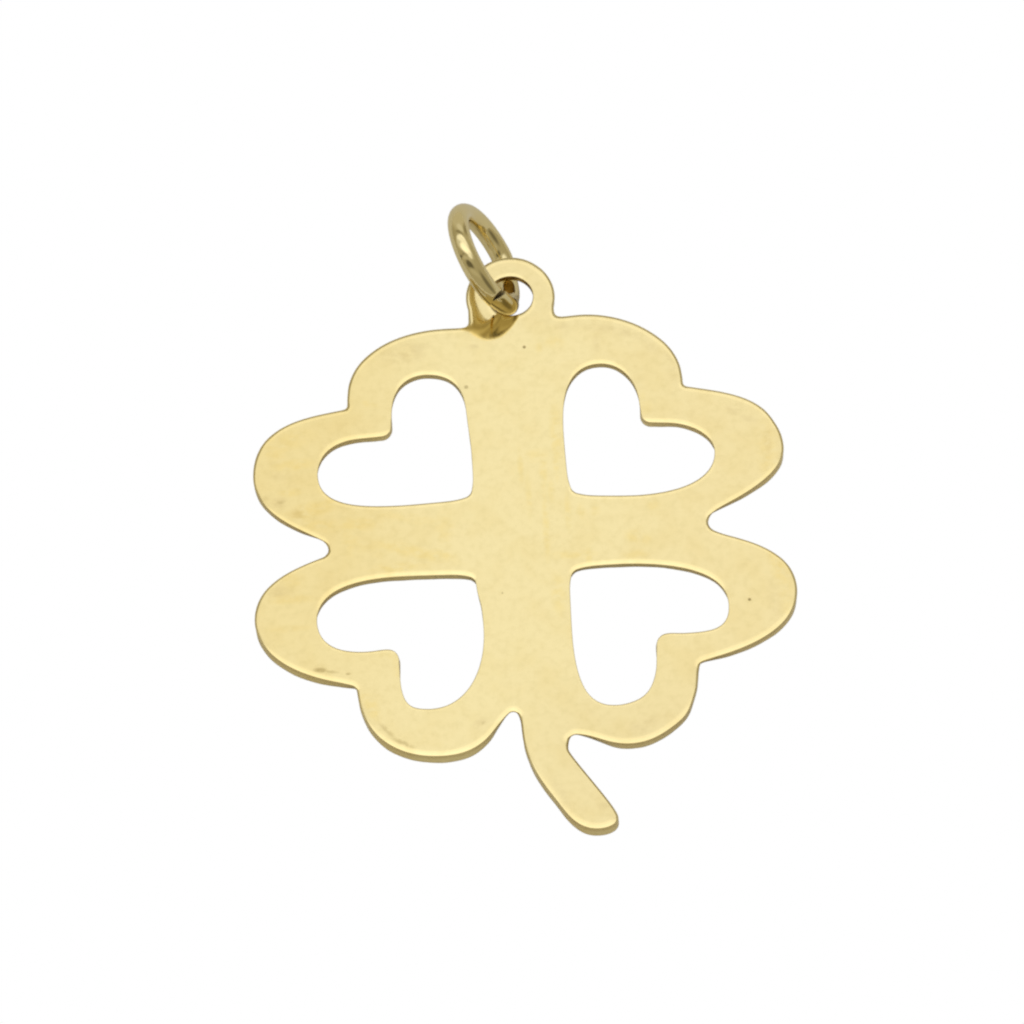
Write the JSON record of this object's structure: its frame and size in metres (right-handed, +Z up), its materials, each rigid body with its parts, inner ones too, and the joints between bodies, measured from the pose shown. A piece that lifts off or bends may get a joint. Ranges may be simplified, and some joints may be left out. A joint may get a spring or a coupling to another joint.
{
  "type": "four leaf clover pendant",
  "caption": "Flat clover pendant cut from polished gold sheet, with heart-shaped openings, a curved stem and a jump ring through a round tab.",
  "frame": {"origin": "on the table under the middle of the pendant's box, in its lying rest pose", "axes": "+X to the right of the clover, +Y towards the tab and the jump ring, +Z up from the table through the polished face"},
  "size_m": [0.024, 0.0306, 0.005],
  "materials": {
    "polished_gold": "pale yellow gold sheet, polished to a soft mirror, with faint wear scratches and a little tarnish at the edges",
    "ring_gold": "pale yellow gold wire, polished"
  },
  "bodies": {
    "root": {"clover_plate": "polished_gold", "jump_ring": "ring_gold"}
  },
  "joints": []
}
